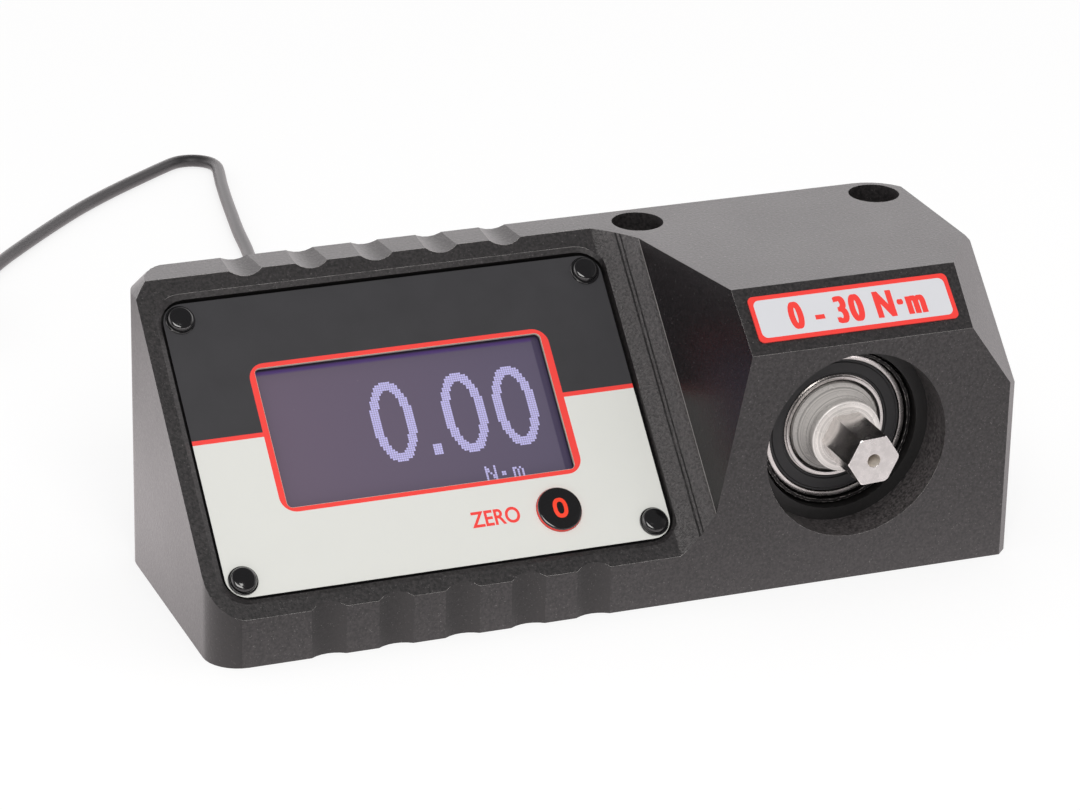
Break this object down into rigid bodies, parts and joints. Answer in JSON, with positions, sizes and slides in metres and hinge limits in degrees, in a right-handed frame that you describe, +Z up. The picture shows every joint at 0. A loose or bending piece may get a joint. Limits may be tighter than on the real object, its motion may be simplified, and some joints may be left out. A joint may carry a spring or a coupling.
{
  "type": "bench torque tester",
  "caption": "Bench torque tester: dark metal block with a sloping display panel and zero button, a hexagonal drive in a bearing at the front, bench fixing holes and a plugged-in lead.",
  "frame": {"origin": "middle of the block's footprint, on the bench", "axes": "+X along the block to its drive end, +Y from the front to the rear, +Z up"},
  "size_m": [0.2348, 0.2928, 0.063],
  "materials": {
    "housing_finish": "hard black anodised over a fine blasted texture",
    "panel_face": "printed satin film, charcoal above and pale grey below, red lines",
    "black_gloss": "polished black moulding",
    "display_glass": "dusky violet display behind clear glass",
    "circuit_board": "green solder mask",
    "bright_steel": "fine turned and ground steel",
    "black_steel": "black oxide",
    "seal_rubber": "moulded bearing seal",
    "lead_sheath": "satin flexible sheath",
    "label_face": "printed satin label with a red border"
  },
  "bodies": {
    "block": {"housing": "housing_finish", "front_panel": "panel_face", "panel_rivet_1": "black_gloss", "panel_rivet_2": "black_gloss", "panel_rivet_3": "black_gloss", "panel_rivet_4": "black_gloss", "display_glass": "display_glass", "display_backlight": "black_gloss", "display_board": "circuit_board", "display_pillar_1": "bright_steel", "display_pillar_2": "bright_steel", "display_pillar_3": "bright_steel", "display_pillar_4": "bright_steel", "display_screw_1": "bright_steel", "display_screw_2": "bright_steel", "display_screw_3": "bright_steel", "display_screw_4": "bright_steel", "zero_switch": "bright_steel", "main_board": "circuit_board", "board_screw_1": "bright_steel", "board_screw_2": "bright_steel", "board_screw_3": "bright_steel", "board_screw_4": "bright_steel", "lead_socket": "bright_steel", "gauge_socket": "black_gloss", "gauge_lead": "lead_sheath", "bearing_sleeve": "black_steel", "bearing_outer_race": "bright_steel", "bearing_seal_front": "seal_rubber", "bearing_seal_rear": "seal_rubber", "transducer": "bright_steel", "transducer_screw_1": "black_steel", "transducer_screw_2": "black_steel", "transducer_screw_3": "black_steel", "transducer_screw_4": "black_steel", "range_label": "label_face", "lead_plug": "black_gloss", "lead_relief": "lead_sheath", "lead_cord": "lead_sheath", "lead_coil": "lead_sheath", "lead_tie": "black_gloss", "lead_tail": "lead_sheath", "host_relief": "lead_sheath", "host_plug": "black_gloss"},
    "spindle": {"drive_spindle": "bright_steel", "bearing_inner_race": "bright_steel"},
    "cage": {"bearing_cage": "bright_steel"},
    "button": {"zero_button": "black_gloss"}
  },
  "joints": [
    {"name": "drive_twist", "type": "hinge", "parent": "block", "child": "spindle", "pos_m": [0.0509, 0, 0.0299], "axis": [0, 1, 0], "range_deg": [-1, 1], "stiffness_Nm_per_rad": 5},
    {"name": "cage_roll", "type": "hinge", "parent": "block", "child": "cage", "pos_m": [0.0509, 0, 0.0299], "axis": [0, 1, 0], "range_deg": [-0.5, 0.5]},
    {"name": "zero_press", "type": "slide", "parent": "block", "child": "button", "axis": [0, 0.6997, -0.7144], "range_m": [0, 0.0004], "stiffness_N_per_m": 500}
  ],
  "couplings": [
    {"joint": "cage_roll", "follows": "drive_twist", "ratio": 0.433}
  ]
}
